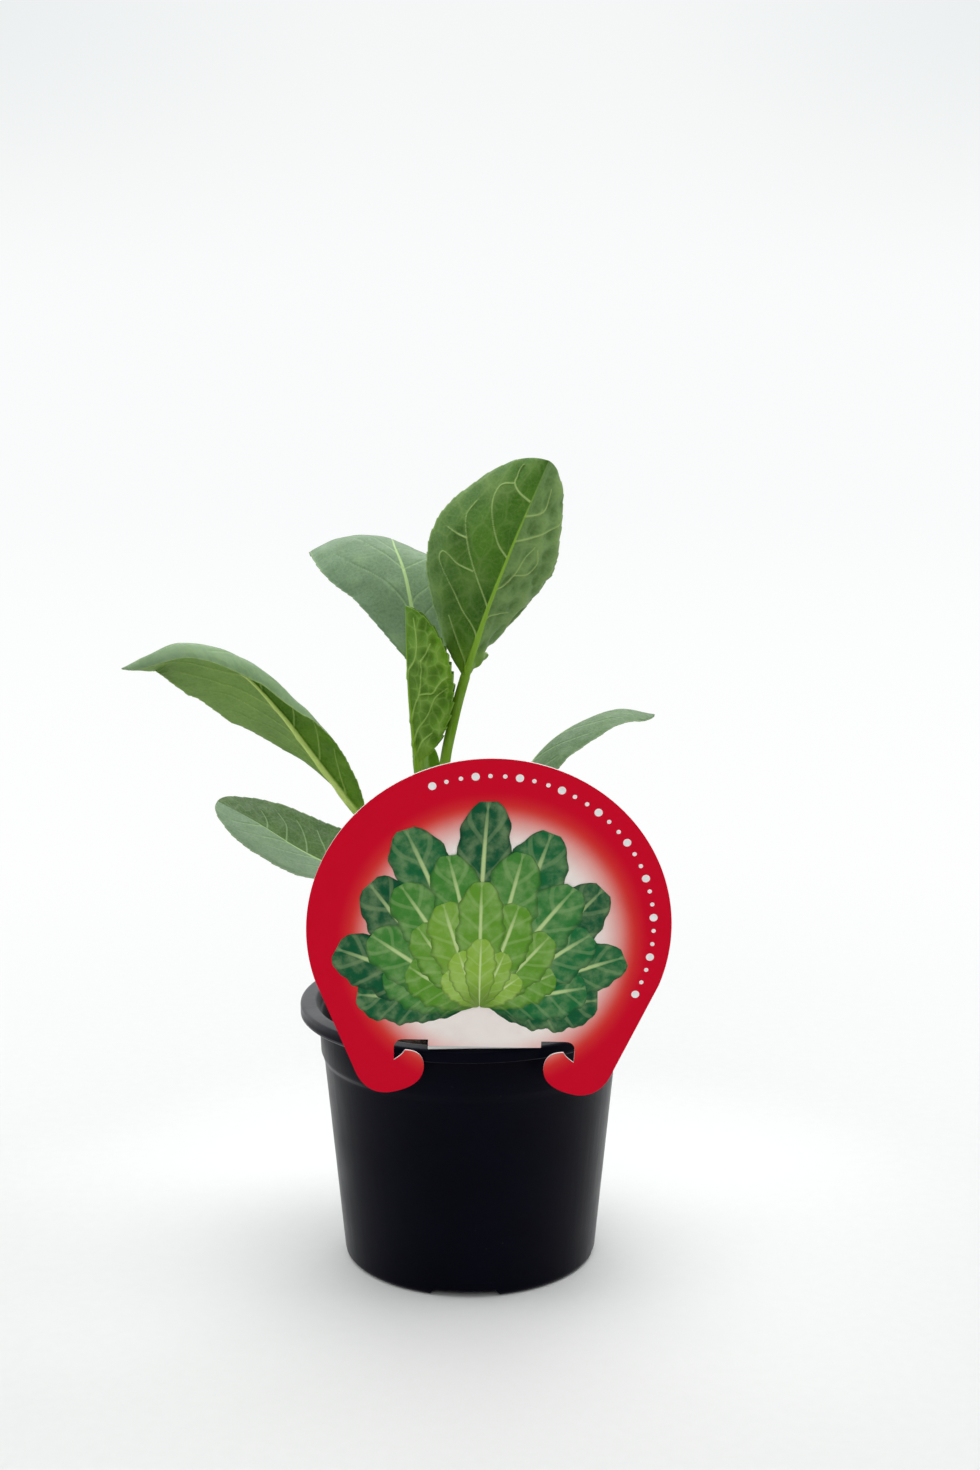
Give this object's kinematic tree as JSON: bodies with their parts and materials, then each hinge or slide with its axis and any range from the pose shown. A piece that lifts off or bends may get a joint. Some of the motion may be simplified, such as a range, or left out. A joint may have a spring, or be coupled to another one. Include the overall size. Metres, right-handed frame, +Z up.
{
  "type": "potted cauliflower seedling",
  "caption": "Young cauliflower plant with long-stalked leaves in a black nursery pot of compost, with a round red plant label clipped on the rim.",
  "frame": {"origin": "centre of the pot's flat floor, on its underside, where the pot stands", "axes": "+Z up along the pot, -Y towards the plant label at the front, +X to the right seen from the label's side"},
  "size_m": [0.1645, 0.1474, 0.2494],
  "materials": {
    "pot": "satin black moulded plastic",
    "compost": "crumbly dark brown peat and fibre",
    "stem": "pale green, waxy",
    "green_leaf": "bright green leaf with pale veins",
    "grey_leaf": "grey green waxy leaf with pale veins",
    "label": "printed crimson plastic card, glossy"
  },
  "bodies": {
    "root": {"pot": "pot", "compost": "compost", "stem": "stem", "tall_leaf": "green_leaf", "back_leaf": "grey_leaf", "young_leaf": "green_leaf", "arching_leaf": "green_leaf", "low_leaf": "grey_leaf", "right_leaf": "grey_leaf", "heart_leaf_front": "green_leaf", "heart_leaf_back": "green_leaf", "plant_label": "label"}
  },
  "joints": []
}
